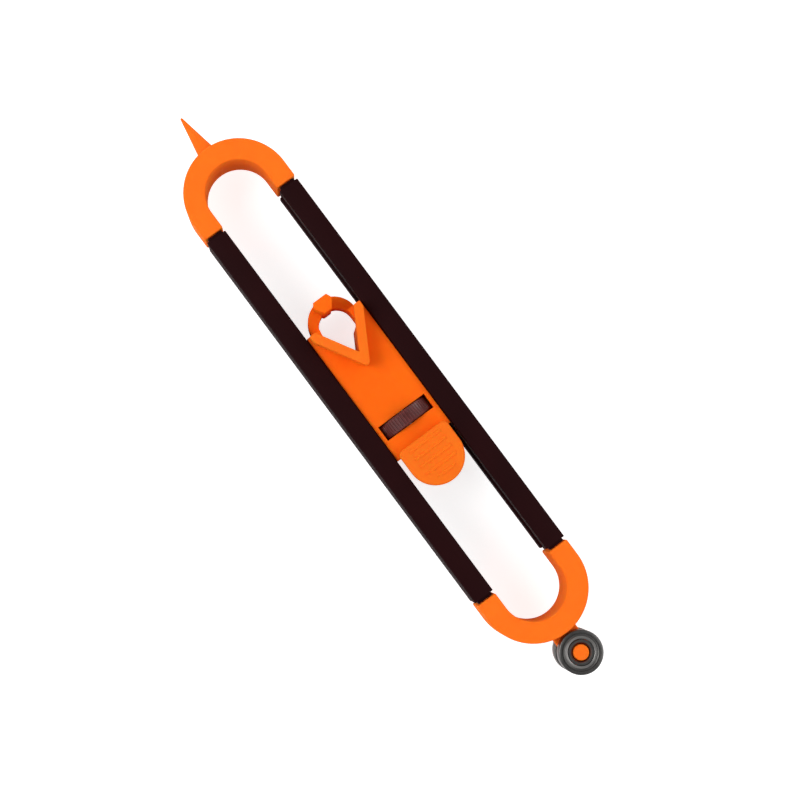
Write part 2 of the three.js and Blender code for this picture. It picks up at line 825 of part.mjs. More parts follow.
// The lever's ribbed plate is pressed by the thumb; its web turns on the pin, and the bar on its nose
// reaches into both rails, where its pads press on the slots' lower lips
function thumbLever() {
  const plate = upright(thumbOutline(leverHalfWidth, leverHead), leverUnderside, leverTop, leverEdge, 16);
  const webReach = 4;
  const noseRise = 1.4;
  const webTop = leverUnderside + leverEdge;
  const webBack = pivotStation - webReach;
  const webFront = carriageTail - earGap;
  const heel = pivotHeight - earRadius;
  const web = crosswise(polygon([
    [webBack, webTop],
    [webBack, pivotHeight],
    [pivotStation - earRadius, heel],
    [pivotStation + earRadius, heel],
    [barFar, barBottom],
    [barFar, barTop],
    [webFront, barTop + noseRise],
    [webFront, webTop],
  ]), noseHalfWidth);
  const bar = block(-padOuter, padOuter, barNear, barFar, barBottom, barTop);
  const bossEnd = leverUnderside - bossHeight;
  const boss = barUp(leverBossRadius, bossEnd, webTop, 0, leverBossStation, 14);
  const pinBore = barAcross(pinRadius + clearance, noseHalfWidth + overrun, pivotStation, pivotHeight);
  const ribs = gripBars(leverTop, gripHeight);
  return piece('thumb_lever', cut(join(plate, web, bar, boss, ribs), pinBore), orange);
}

function brakePad(name, side) {
  const left = Math.min(side * padInner, side * padOuter);
  const right = Math.max(side * padInner, side * padOuter);
  const near = barNear + clearance;
  const far = barFar - clearance;
  return piece(name, block(left, right, near, far, padBottom, padBottom + padThickness), rubber);
}

function leverPin() {
  const pin = barAcross(pinRadius, earOuter - pinInset, pivotStation, pivotHeight);
  return piece('lever_pin', pin, platedSteel);
}

// A compression spring as one wire: a helix with five sides to the wire and eight steps to the curl
function leverSpring() {
  const low = restThickness + clearance + springWireRadius;
  const high = leverUnderside - clearance - springWireRadius;
  const steps = 8;
  const sides = 5;
  class Helix extends THREE.Curve {
    getPoint(share, target = new THREE.Vector3()) {
      const angle = 2 * Math.PI * springCurls * share;
      const height = low + (high - low) * share;
      return target.set(springCoilRadius * Math.cos(angle), springCoilRadius * Math.sin(angle), height);
    }
  }
  const path = new Helix();
  const section = [];
  for (let index = 0; index < sides; index += 1) {
    const angle = (2 * Math.PI * index) / sides;
    section.push([springWireRadius * Math.cos(angle), springWireRadius * Math.sin(angle)]);
  }
  const geometry = new THREE.ExtrudeGeometry(polygon(section), {
    steps: steps * springCurls,
    extrudePath: path,
    bevelEnabled: false,
  });
  geometry.translate(0, springStation, 0);

  // The least distance between two points of the path a curl or so apart, less the wire
  const points = path.getPoints(steps * springCurls);
  let least = Infinity;
  points.forEach((point, index) => {
    points.slice(index + steps / 2).forEach((other) => {
      least = Math.min(least, point.distanceTo(other));
    });
  });
  console.log(`lever_spring: least gap between curls ${(least - 2 * springWireRadius).toFixed(2)} mm`);
  return piece('lever_spring', solidOf(geometry), springSteel);
}

const carriage = new THREE.Group();
carriage.position.y = carriageStation;
carriage.add(
  carriageBody(),
  carriageBase(),
  ...coverScrews(),
  pencilJaw(),
  jawScrew(),
  thumbwheel(),
  thumbLever(),
  brakePad('left_brake_pad', -1),
  brakePad('right_brake_pad', 1),
  leverPin(),
  leverSpring(),
);

const gauge = new THREE.Group();
gauge.add(
  rail('left_rail', -1),
  rail('right_rail', 1),
  pointerEndCap(),
  wheelEndCap(),
  bearing('front', 1),
  bearing('rear', -1),
  carriage,
);

export default gauge;
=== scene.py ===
"""Contour gauge for scribing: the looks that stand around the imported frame.

Each operator makes one piece or one group of like pieces. All lengths are metres in the frame's own
axes: X across the gauge, Y along it towards the pointer, Z from its back to its front.
"""
import math
from contextlib import contextmanager

import bmesh
import bpy
from bpy.props import FloatProperty, FloatVectorProperty, IntProperty, PointerProperty
from bpy.types import Operator, Panel, PropertyGroup
from mathutils import Matrix, Vector


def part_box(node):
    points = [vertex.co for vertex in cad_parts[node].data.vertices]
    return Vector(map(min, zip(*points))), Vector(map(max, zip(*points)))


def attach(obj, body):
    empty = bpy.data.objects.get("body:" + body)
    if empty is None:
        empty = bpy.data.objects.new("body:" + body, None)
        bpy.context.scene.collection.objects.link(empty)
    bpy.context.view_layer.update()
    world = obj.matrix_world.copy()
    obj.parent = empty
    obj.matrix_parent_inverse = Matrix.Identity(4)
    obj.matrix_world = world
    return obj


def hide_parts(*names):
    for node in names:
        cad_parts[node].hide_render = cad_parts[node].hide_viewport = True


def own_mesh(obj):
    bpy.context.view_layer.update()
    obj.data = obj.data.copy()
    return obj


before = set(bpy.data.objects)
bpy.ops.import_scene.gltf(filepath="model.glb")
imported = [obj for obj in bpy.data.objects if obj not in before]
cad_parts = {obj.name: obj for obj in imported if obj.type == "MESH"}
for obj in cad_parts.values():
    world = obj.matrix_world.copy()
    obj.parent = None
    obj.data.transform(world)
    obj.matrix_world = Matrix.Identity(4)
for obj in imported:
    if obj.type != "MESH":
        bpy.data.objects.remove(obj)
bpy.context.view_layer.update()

bl_info = {
    "name": "Contour gauge",
    "version": (1, 0, 0),
    "blender": (4, 5, 0),
    "location": "3D View > Sidebar > Gauge",
    "description": "Builds a scribing gauge with its rails, end caps, wheels and pencil carriage",
    "category": "Object",
}

MM = 0.001
# Points nearer to each other than this are one point
MERGE = 0.001 * MM
# The usual room between two pieces
GAP = 0.3 * MM
LEFT, RIGHT = -1, 1
FRONT, BACK = 1, -1

# Each axis's direction, and the turn that lays a primitive's own Z along it
AXES = {
    "X": (Vector((1, 0, 0)), (0, math.pi / 2, 0)),
    "Y": (Vector((0, 1, 0)), (math.pi / 2, 0, 0)),
    "Z": (Vector((0, 0, 1)), (0, 0, 0)),
}

# The stage's floor, light and room: metres, watts and strengths
FLOOR_SIZE, FLOOR_GLOW, FLOOR_GLOSS = 6, 0.72, 0.2
ROOM_WALL, ROOM_CEILING = 1.1, 0.3
KEY_PLACE, KEY_SIZE, KEY_POWER = (-0.6, 0.45, 0.95), 0.6, 7
FILL_PLACE, FILL_SIZE, FILL_POWER = (0.8, -0.5, 0.9), 1.0, 5

# The camera's place, aim and upward direction, and its focal length and sensor in millimetres
CAMERA_PLACE = Vector((-47.6, -15.8, 580.5)) * MM
CAMERA_AIM = Vector((1.7, -5.2, 23.5)) * MM
CAMERA_UP = Vector((0.5986, 0.801, 0))
CAMERA_LENS, CAMERA_SENSOR = 76, 36

# Most of a noise texture lies between these
NOISE_LOW, NOISE_HIGH = 0.3, 0.7

# Radii of a bearing shield's raised land and of the sunk band round it; painted shade fades in
# between them
SHIELD_LAND, SHIELD_BAND = 5.3 * MM, 5.5 * MM


def linear(code):
    """A colour written as an sRGB hex value, in linear light."""
    shares = [int(code[start:start + 2], 16) / 255 for start in (0, 2, 4)]
    return tuple(
        share / 12.92 if share <= 0.04045 else ((share + 0.055) / 1.055) ** 2.4
        for share in shares
    )


def length_property(name, description, millimetres):
    """A length that a user may change, shown in the scene's own unit."""
    return FloatProperty(
        name=name,
        description=description,
        default=millimetres * MM,
        min=0,
        precision=5,
        subtype="DISTANCE",
        unit="LENGTH",
    )


def colour_property(name, description, code):
    """A colour that a user may change, given as an sRGB hex value."""
    return FloatVectorProperty(
        name=name,
        description=description,
        default=linear(code),
        size=3,
        min=0,
        max=1,
        subtype="COLOR",
    )


class GaugeSizes(PropertyGroup):
    """Sizes that the frame leaves open."""

    rail_wall: length_property("Rail wall", "Thickness of the rails' walls", 1.6)
    rail_slot: length_property("Rail slot", "Height of the slot in each rail", 8)
    rail_edge: length_property("Rail edge", "Rounding of the rails' long edges", 0.5)
    rail_neck: length_property("Rail neck", "Length of the step at each rail's end", 1)
    rail_step: length_property("Rail step", "Depth of the step at each rail's end", 0.9)
    cap_leg: length_property("Cap leg", "Straight part of an end cap's legs", 6.2)
    cap_edge: length_property("Cap edge", "Rounding of the end caps' edges", 0.6)
    tongue: length_property("Cap tongue", "Reach of an end cap's tongue into the rail", 8)
    pointer: length_property("Pointer", "Height of the pointer above the cap", 15)
    pointer_root: length_property("Pointer root", "Radius of the pointer's cone at its foot", 3.0)
    pointer_flare: length_property("Pointer flare", "Radius of the flare under the pointer", 3.9)
    pointer_tip: length_property("Pointer tip", "Radius of the pointer's tip", 0.4)
    arm_half_width: length_property("Arm half width", "Half of the wheel arm's width", 4.6)
    arm_half_height: length_property("Arm half height", "Half of the wheel arm's thickness", 2)
    collar: length_property("Collar", "Radius of the collar that a bearing stands on", 4)
    stub: length_property("Stub", "Radius of the stub that carries a bearing", 2.65)
    carriage_edge: length_property("Carriage edge", "Widest rounding of the carriage's edges", 0.35)
    jaw_edge: length_property("Jaw edge", "Widest rounding of the V jaw's edges", 0.45)
    lever_edge: length_property("Lever edge", "Widest rounding of the thumb lever's edges", 0.22)
    thread_pitch: length_property("Thread pitch", "Pitch of the jaw screw's thread", 2)
    thread_depth: length_property("Thread depth", "Depth of the jaw screw's thread", 0.45)
    wheel_ridge: length_property("Ridge height", "Height of the thumbwheel's ridges", 0.35)
    wheel_ridges: IntProperty(
        name="Ridges",
        description="Number of ridges on the thumbwheel's rim",
        default=54,
        min=12,
    )
    spring_wire: length_property("Spring wire", "Radius of the lever spring's wire", 0.35)
    spring_coils: IntProperty(
        name="Spring coils",
        description="Number of coils in the lever spring",
        default=9,
        min=2,
    )
    balls: IntProperty(
        name="Balls",
        description="Number of balls in each bearing",
        default=7,
        min=3,
    )


class GaugeColours(PropertyGroup):
    """Colours of the gauge's finishes."""

    cap: colour_property("End caps", "Orange of the end caps", "ff7416")
    carriage: colour_property("Carriage", "Deeper orange of the carriage", "ff6a04")
    jaw: colour_property("Jaw and lever", "Lighter orange of the jaw and the lever", "f47109")
    rail: colour_property("Rails", "Black of the anodised rails", "220608")
    wheel: colour_property("Thumbwheel", "Brown black of the thumbwheel", "602220")
    bearing: colour_property("Bearing rings", "Grey of the ground bearing steel", "626160")
    shield: colour_property("Bearing shields", "Grey of the pressed shields", "8c8a88")
    plated: colour_property("Plated steel", "Grey of the screws and the pin", "a9abad")
    spring: colour_property("Spring steel", "Grey of the drawn spring wire", "8d8f91")
    pad: colour_property("Brake pads", "Black of the rubber pads", "1c1c1c")
    floor: colour_property("Floor", "Board that the gauge lies on", "dcdcdc")


def sizes():
    return bpy.context.scene.gauge_sizes


def colours():
    return bpy.context.scene.gauge_colours


# Materials


def set_inputs(tree, node, inputs):
    """Links the inputs that are given another node's output, and sets the others."""
    for name, value in inputs.items():
        if isinstance(value, bpy.types.NodeSocket):
            tree.links.new(value, node.inputs[name])
        else:
            node.inputs[name].default_value = value


def add_node(tree, kind, inputs=None, **settings):
    """Adds a shader node with its settings and inputs."""
    made = tree.nodes.new("ShaderNode" + kind)
    for name, value in settings.items():
        setattr(made, name, value)
    set_inputs(tree, made, inputs or {})
    return made


def noise(tree, place, millimetres, detail=2.0):
    """A noise texture with features of about this size."""
    inputs = {"Vector": place, "Scale": 1 / (millimetres * MM), "Detail": detail}
    return add_node(tree, "TexNoise", inputs).outputs["Fac"]


def between(tree, factor, low, high):
    """A number that follows a texture between two values."""
    span = {"From Min": NOISE_LOW, "From Max": NOISE_HIGH, "To Min": low, "To Max": high}
    return add_node(tree, "MapRange", {"Value": factor, **span}).outputs["Result"]


def mottled(tree, factor, colour, share):
    """The colour and a darker one of the same hue, mixed by a texture."""
    darker = [channel * share for channel in colour]
    inputs = {"Factor": factor, "A": (*darker, 1), "B": (*colour, 1)}
    return add_node(tree, "Mix", inputs, data_type="RGBA").outputs["Result"]


def bumped(tree, height, depth, strength):
    inputs = {"Height": height, "Distance": depth, "Strength": strength}
    return add_node(tree, "Bump", inputs).outputs["Normal"]


def from_wheel(tree, place, scale=(1, 1, 1)):
    """Coordinates that start at the wheels' axis."""
    centre = wheel_centre()
    inputs = {"Vector": place, "Location": (-centre.x, -centre.y, 0), "Scale": scale}
    return add_node(tree, "Mapping", inputs).outputs["Vector"]


def turning_marks(tree, place, millimetres):
    """Fine rings about the wheels' axis, spaced by the given feed of the tool."""
    # One turn of the wave texture's rings is 2 pi / 20 of its scaled distance
    scale = math.tau / 20 / (millimetres * MM)
    inputs = {"Vector": from_wheel(tree, place), "Scale": scale, "Distortion": 1.2, "Detail": 2.0}
    rings = add_node(tree, "TexWave", inputs, wave_type="RINGS", rings_direction="Z")
    return rings.outputs["Fac"]


# Each of these makes a finish's textures and gives the inputs of its Principled shader


def moulded_abs(tree, place, colour, shine=0.12, dullness=0.8):
    """ABS shot in a spark-eroded mould: satin, with a fine even grain and soft highlights.

    The real grain is about 0.05 mm and would not show, so it is drawn at 0.35 mm. A little of the
    light enters the orange plastic and comes out redder, which softens its edges.
    """
    cloud = between(tree, noise(tree, place, 9), 0, 1)
    patch = noise(tree, place, 2.5)
    return {
        "Base Color": mottled(tree, cloud, colour, 0.94),
        "Roughness": between(tree, patch, dullness - 0.05, dullness + 0.05),
        "Normal": bumped(tree, noise(tree, place, 0.35, 3.0), 0.02 * MM, 0.3),
        "IOR": 1.54,
        "Specular IOR Level": shine,
        "Subsurface Weight": 0.3,
        "Subsurface Radius": (1.0, 0.12, 0.03),
        "Subsurface Scale": 2 * MM,
    }


def moulded_nylon(tree, place, colour):
    """Glass-filled nylon from a mould: dull dark brown, a little streaky from its fibres."""
    cloud = between(tree, noise(tree, place, 1.6, 4.0), 0, 1)
    return {
        "Base Color": mottled(tree, cloud, colour, 0.7),
        "Roughness": between(tree, cloud, 0.4, 0.55),
        "Normal": bumped(tree, noise(tree, place, 0.3, 3.0), 0.02 * MM, 0.4),
        "IOR": 1.53,
    }


def anodised_aluminium(tree, place, colour):
    """Drawn aluminium, etched and dyed black: satin, with faint lines along the draw.

    The draw lines are about 0.1 mm apart and are drawn at 0.4 mm so that they show.
    """
    inputs = {"Vector": place, "Scale": (1, 0.01, 1)}
    lines = noise(tree, add_node(tree, "Mapping", inputs).outputs["Vector"], 0.4, 3.0)
    cloud = between(tree, noise(tree, place, 14), 0, 1)
    return {
        "Base Color": mottled(tree, cloud, colour, 0.8),
        "Roughness": between(tree, lines, 0.58, 0.68),
        "Normal": bumped(tree, lines, 0.01 * MM, 0.35),
        "Specular IOR Level": 0.06,
    }


def ground_steel(tree, place, colour):
    """Bearing steel, turned and ground: grey and fairly bright, with rings about its axis."""
    marks = turning_marks(tree, place, 0.3)
    cloud = between(tree, noise(tree, place, 2.2, 4.0), 0, 1)
    return {
        "Base Color": mottled(tree, cloud, colour, 0.75),
        "Roughness": between(tree, marks, 0.28, 0.4),
        "Normal": bumped(tree, marks, 0.01 * MM, 0.4),
        "Metallic": 1,
    }


def pressed_steel(tree, place, colour):
    """Cold rolled steel pressed to a shield: fairly bright, with painted shade from its sunk band
    out.
    """
    flat = from_wheel(tree, place, (1, 1, 0))
    radius = add_node(tree, "VectorMath", {0: flat}, operation="LENGTH").outputs["Value"]
    # Painted shade: darker beyond the raised land, standing in for the shade in the sunk band
    band = {"From Min": SHIELD_LAND, "From Max": SHIELD_BAND, "To Min": 1, "To Max": 0.1}
    unshaded = add_node(tree, "MapRange", {"Value": radius, **band}).outputs["Result"]
    return {
        "Base Color": mottled(tree, unshaded, colour, 0.3),
        "Roughness": between(tree, noise(tree, place, 1.5, 4.0), 0.3, 0.45),
        "Normal": bumped(tree, turning_marks(tree, place, 0.5), 0.01 * MM, 0.3),
        "Metallic": 1,
    }


def drawn_steel(tree, place, colour, low, high):
    """Drawn or rolled steel: its surface has short soft streaks and an uneven shine."""
    cloud = between(tree, noise(tree, place, 0.8, 4.0), 0, 1)
    return {
        "Base Color": mottled(tree, cloud, colour, 0.85),
        "Roughness": between(tree, cloud, low, high),
        "Normal": bumped(tree, noise(tree, place, 0.25, 3.0), 0.008 * MM, 0.3),
        "Metallic": 1,
    }


def nitrile_rubber(tree, place, colour):
    """Nitrile rubber cut from sheet: matt black with a dusty, slightly rough skin."""
    cloud = between(tree, noise(tree, place, 0.6, 5.0), 0, 1)
    return {
        "Base Color": mottled(tree, cloud, colour, 0.6),
        "Roughness": between(tree, cloud, 0.75, 0.92),
        "Normal": bumped(tree, cloud, 0.03 * MM, 0.5),
        "IOR": 1.52,
    }


# For each colour: its finish's name, slot and maker, and the maker's own numbers
FINISHES = {
    "cap": ("Moulded ABS, cap orange", "orange_plastic", moulded_abs),
    "carriage": ("Moulded ABS, deep orange", "orange_plastic", moulded_abs),
    "jaw": ("Moulded ABS, light orange", "light_orange_plastic", moulded_abs, 0.16, 0.65),
    "rail": ("Anodised aluminium, black", "anodised_aluminium", anodised_aluminium),
    "wheel": ("Moulded nylon, dark brown", "dark_plastic", moulded_nylon),
    "bearing": ("Bearing steel, ground", "bearing_steel", ground_steel),
    "shield": ("Sheet steel, pressed", "shield_steel", pressed_steel),
    "plated": ("Steel, zinc plated", "plated_steel", drawn_steel, 0.25, 0.4),
    "spring": ("Spring steel, drawn", "plated_steel", drawn_steel, 0.3, 0.45),
    "pad": ("Nitrile rubber, black", "pad_rubber", nitrile_rubber),
}


def finish(tone):
    """The finish in a colour, made when it is first asked for, and its slot."""
    name, slot, maker, *numbers = FINISHES[tone]
    material = bpy.data.materials.get(name)
    if not material:
        material = bpy.data.materials.new(name)
        material.use_nodes = True
        tree = material.node_tree
        place = add_node(tree, "TexCoord").outputs["Object"]
        inputs = maker(tree, place, getattr(colours(), tone), *numbers)
        set_inputs(tree, tree.nodes["Principled BSDF"], inputs)
    return material, slot


def studio_white(name, colour):
    """Matt board with the object's soft shadow on it.

    Light Path adds a glow that only the camera sees, so that the board shows near white, and a
    weaker one that only reflections see. Neither lights the gauge.
    """
    material = bpy.data.materials.new(name)
    material.use_nodes = True
    tree = material.node_tree
    tree.nodes.remove(tree.nodes["Principled BSDF"])
    rays = add_node(tree, "LightPath").outputs
    inputs = {0: rays["Is Glossy Ray"], 1: FLOOR_GLOSS}
    mirrored = add_node(tree, "Math", inputs, operation="MULTIPLY").outputs[0]
    inputs = {0: rays["Is Camera Ray"], 1: FLOOR_GLOW, 2: mirrored}
    glow = add_node(tree, "Math", inputs, operation="MULTIPLY_ADD").outputs[0]
    board = add_node(tree, "BsdfDiffuse", {"Color": (*colour, 1)}).outputs[0]
    light = add_node(tree, "Emission", {"Strength": glow}).outputs[0]
    both = add_node(tree, "AddShader", {0: board, 1: light}).outputs[0]
    set_inputs(tree, tree.nodes["Material Output"], {"Surface": both})
    return material


# Modelling


def activate(piece):
    """Makes the piece the only selected object and the active one."""
    bpy.ops.object.select_all(action="DESELECT")
    piece.select_set(True)
    bpy.context.view_layer.objects.active = piece


def settle(piece):
    """Writes the piece's place, turn and size into its mesh."""
    activate(piece)
    bpy.ops.object.transform_apply()
    return piece


@contextmanager
def editing(piece):
    """Edit mode on one piece with all of it chosen, from and back to object mode."""
    activate(piece)
    bpy.ops.object.mode_set(mode="EDIT")
    bpy.ops.mesh.select_mode(type="VERT")
    bpy.ops.mesh.select_all(action="SELECT")
    yield
    bpy.ops.object.mode_set(mode="OBJECT")


def pick(kind, test):
    """In edit mode, selects the faces, edges or points that pass the test, and only those."""
    bpy.ops.mesh.select_mode(type=kind)
    bpy.ops.mesh.select_all(action="DESELECT")
    data = bpy.context.edit_object.data
    mesh = bmesh.from_edit_mesh(data)
    for part in {"VERT": mesh.verts, "EDGE": mesh.edges, "FACE": mesh.faces}[kind]:
        if test(part):
            part.select_set(True)
    mesh.select_flush_mode()
    bmesh.update_edit_mesh(data)


def facing(direction, share=0.9):
    """A test for faces that look along a direction."""
    return lambda face: face.normal.dot(Vector(direction)) > share


def end_on(face):
    """Whether a face lies square across the gauge's length."""
    return abs(face.normal.y) > 0.9


def lengthways(edge):
    """Whether an edge runs along the gauge's length."""
    span = edge.verts[1].co - edge.verts[0].co
    return span.length > 0 and abs(span.normalized().y) > 0.999


def extrude(x=0, y=0, z=0):
    bpy.ops.mesh.extrude_region_move(TRANSFORM_OT_translate={"value": (x, y, z)})


def draw_out(length):
    """In edit mode, extrudes the chosen faces along their own normals."""
    bpy.ops.mesh.extrude_region_shrink_fatten(TRANSFORM_OT_shrink_fatten={"value": length})


def trim(place, direction):
    """In edit mode, cuts off all that lies beyond a plane, and fills the cut."""
    bpy.ops.mesh.select_all(action="SELECT")
    bpy.ops.mesh.bisect(plane_co=place, plane_no=direction, use_fill=True, clear_outer=True)


def clean_mesh():
    """In edit mode, merges points that coincide and turns all faces outwards."""
    bpy.ops.mesh.select_all(action="SELECT")
    bpy.ops.mesh.remove_doubles(threshold=MERGE)
    bpy.ops.mesh.normals_make_consistent(inside=False)


def add_block(low, high):
    """A box between two corners."""
    low, high = Vector(low), Vector(high)
    bpy.ops.mesh.primitive_cube_add(size=1, location=(low + high) / 2, scale=high - low)
    return settle(bpy.context.object)


def add_round(radius, start, end, axis="Z", sides=64):
    """A round bar between two points of its own axis."""
    start, end = Vector(start), Vector(end)
    bpy.ops.mesh.primitive_cylinder_add(
        vertices=sides,
        radius=radius,
        depth=(end - start).length,
        location=(start + end) / 2,
        rotation=AXES[axis][1],
    )
    return settle(bpy.context.object)


def add_turned(profile, centre, axis="Z", sides=96):
    """A solid of revolution: a ring of points that is extruded and resized along a profile.

    The profile holds radius and height from the centre. Where it starts or ends on the axis, the
    solid is closed there, and otherwise its last ring meets its first.
    """
    centre = Vector(centre)
    along, turn = AXES[axis]
    closed = profile[0][0] > 0 and profile[-1][0] > 0
    rings = [point for point in profile if point[0] > 0]
    radius, height = rings[0]
    bpy.ops.mesh.primitive_circle_add(
        vertices=sides,
        radius=radius,
        location=centre + along * height,
        rotation=turn,
        fill_type="NOTHING" if closed else "NGON",
    )
    piece = settle(bpy.context.object)
    steps = rings[1:] + (rings[:1] if closed else [])
    grow = bpy.ops.mesh.extrude_edges_move if closed else bpy.ops.mesh.extrude_region_move
    with editing(piece):
        for next_radius, next_height in steps:
            grow(TRANSFORM_OT_translate={"value": along * (next_height - height)})
            share = next_radius / radius
            bpy.ops.transform.resize(
                value=[1 if part else share for part in along],
                center_override=centre + along * next_height,
            )
            radius, height = next_radius, next_height
        clean_mesh()
    return piece


def combine(piece, other, operation):
    """Joins another solid to the piece, or cuts it away, and uses that solid up."""
    activate(piece)
    bpy.ops.object.modifier_add(type="BOOLEAN")
    modifier = piece.modifiers[-1]
    modifier.operation = operation
    modifier.solver = "EXACT"
    modifier.object = other
    bpy.ops.object.modifier_apply(modifier=modifier.name)
    bpy.data.objects.remove(other, do_unlink=True)
    return piece


def join(piece, other):
    return combine(piece, other, "UNION")


def cut(piece, other):
    return combine(piece, other, "DIFFERENCE")


def round_edges(piece, width, segments=3, angle=40):
    """Rounds the edges that are sharper than the angle, by the width or what the clamp leaves.

    The clamp keeps roundings from crossing, and makes all of a piece's roundings as small as its
    shortest edges need. On the carriage, the jaw, the lever and the rails, next to none is left.
    """
    activate(piece)
    bpy.ops.object.modifier_add(type="BEVEL")
    modifier = piece.modifiers[-1]
    modifier.width = width
    modifier.segments = segments
    modifier.limit_method = "ANGLE"
    modifier.angle_limit = math.radians(angle)
    modifier.use_clamp_overlap = True
    bpy.ops.object.modifier_apply(modifier=modifier.name)
    return piece


def sweep(piece, axis, pitch, turns, steps):
    """Sweeps an outline round an axis of its object, a pitch further with each turn."""
    activate(piece)
    bpy.ops.object.modifier_add(type="SCREW")
    modifier = piece.modifiers[-1]
    modifier.axis = axis
    modifier.steps = modifier.render_steps = steps
    modifier.screw_offset = pitch
    modifier.iterations = turns
    modifier.use_merge_vertices = True
    modifier.merge_threshold = MERGE
    bpy.ops.object.modifier_apply(modifier=modifier.name)


def merged_copy(node):
    """A copy of a CAD node as one closed mesh, its flat faces whole again."""
    piece = bpy.data.objects.new(node + "_copy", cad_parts[node].data.copy())
    bpy.context.scene.collection.objects.link(piece)
    with editing(piece):
        bpy.ops.mesh.remove_doubles(threshold=MERGE)
        bpy.ops.mesh.dissolve_limited(angle_limit=math.radians(0.5))
    return piece


def dress(piece, name, tone, body, *nodes, smooth=35):
    """Names a piece, gives it its finish and hangs it on its body in place of CAD nodes."""
    material, slot = finish(tone)
    piece.name = name
    piece.data.name = name
    activate(piece)
    bpy.ops.object.shade_smooth_by_angle(angle=math.radians(smooth))
    piece.data.materials.clear()
    piece.data.materials.append(material)
    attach(piece, body)
    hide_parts(*nodes)
    return piece


# Places that the frame gives


def window_radius():
    """Half of the clear width between the rails."""
    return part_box("right_rail")[0].x


def frame_radius():
    """Half of the width of the rails' frame."""
    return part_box("right_rail")[1].x


def frame_levels():
    low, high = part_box("right_rail")
    return low.z, high.z


def middle_level():
    return sum(frame_levels()) / 2


def wheel_centre():
    low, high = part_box("front_bearing_outer_ring")
    return Vector(((low.x + high.x) / 2, (low.y + high.y) / 2, 0))


class GAUGE_OT_stage(Operator):
    """Sets up the white floor, the soft lamps and the camera"""

    bl_idname = "gauge.stage"
    bl_label = "Stage"

    def execute(self, context):
        scene = context.scene
        scene.view_settings.view_transform = "Standard"
        bpy.ops.mesh.primitive_plane_add(size=FLOOR_SIZE)
        floor = context.object
        floor.name = "studio_floor"
        floor.data.materials.append(studio_white("Matt board, white", colours().floor))
        self.room(scene)
        self.softbox("key_softbox", KEY_PLACE, KEY_SIZE, KEY_POWER)
        self.softbox("fill_softbox", FILL_PLACE, FILL_SIZE, FILL_POWER)
        self.camera(scene)
        return {"FINISHED"}

    def room(self, scene):
        """A pale room under a dark ceiling, so that the gauge's face reflects little of it."""
        world = bpy.data.worlds.new("Pale room, dark ceiling")
        scene.world = world
        world.use_nodes = True
        tree = world.node_tree
        towards = add_node(tree, "TexCoord").outputs["Generated"]
        height = add_node(tree, "SeparateXYZ", {"Vector": towards}).outputs["Z"]
        span = {"From Min": 0.2, "From Max": 0.95, "To Min": ROOM_WALL, "To Max": ROOM_CEILING}
        inputs = {"Value": height, **span}
        level = add_node(tree, "MapRange", inputs, interpolation_type="SMOOTHSTEP")
        inputs = {"Color": (1, 1, 1, 1), "Strength": level.outputs["Result"]}
        set_inputs(tree, tree.nodes["Background"], inputs)

    def softbox(self, name, place, size, power):
        """A square lamp that looks at the middle of the gauge."""
        bpy.ops.object.light_add(type="AREA", location=place)
        lamp = bpy.context.object
        lamp.name = name
        lamp.data.size = size
        lamp.data.energy = power
        aim = Vector((0, 0, middle_level())) - Vector(place)
        lamp.rotation_euler = aim.to_track_quat("-Z", "Y").to_euler()

    def camera(self, scene):
        """The camera looks down on the gauge, turned so that the gauge lies across the picture."""
        back = (CAMERA_PLACE - CAMERA_AIM).normalized()
        right = CAMERA_UP.cross(back).normalized()
        axes = Matrix((right, back.cross(right), back)).transposed()
        bpy.ops.object.camera_add()
        camera = bpy.context.object
        camera.name = "photo_camera"
        camera.matrix_world = Matrix.Translation(CAMERA_PLACE) @ axes.to_4x4()
        camera.data.lens = CAMERA_LENS
        camera.data.sensor_width = CAMERA_SENSOR
        scene.camera = camera


class GAUGE_OT_rails(Operator):
    """Makes the two slotted rails, stepped down where they meet the end caps"""

    bl_idname = "gauge.rails"
    bl_label = "Rails"

    def execute(self, context):
        for side, node in ((LEFT, "left_rail"), (RIGHT, "right_rail")):
            dress(self.rail(side, node), "rail." + node, "rail", "frame", node)
        return {"FINISHED"}

    def rail(self, side, node):
        """A bar that is stepped in at its ends, hollowed out and slotted."""
        size = sizes()
        low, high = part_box(node)
        neck = Vector((0, size.rail_neck, 0))
        piece = add_block(low + neck, high - neck)
        with editing(piece):
            pick("FACE", end_on)
            bpy.ops.mesh.inset(thickness=size.rail_step)
            draw_out(size.rail_neck)
            pick("EDGE", lengthways)
            bpy.ops.mesh.bevel(offset=size.rail_edge, segments=4, profile=0.5)
        inner = side * window_radius()
        outer = side * (frame_radius() - size.rail_wall)
        lip = side * (window_radius() + size.rail_wall)
        beyond = Vector((0, 2 * size.rail_neck, 0))
        wall = Vector((0, 0, size.rail_wall))
        near, far = sorted((lip, outer))
        hollow_low = Vector((near, low.y, low.z)) - beyond + wall
        hollow_high = Vector((far, high.y, high.z)) + beyond - wall
        cut(piece, add_block(hollow_low, hollow_high))
        near, far = sorted((inner - side * size.rail_wall, (lip + outer) / 2))
        middle = middle_level()
        slot_low = Vector((near, low.y, middle - size.rail_slot / 2)) - beyond
        slot_high = Vector((far, high.y, middle + size.rail_slot / 2)) + beyond
        cut(piece, add_block(slot_low, slot_high))
        return round_edges(piece, 0.12 * MM, 2, 60)


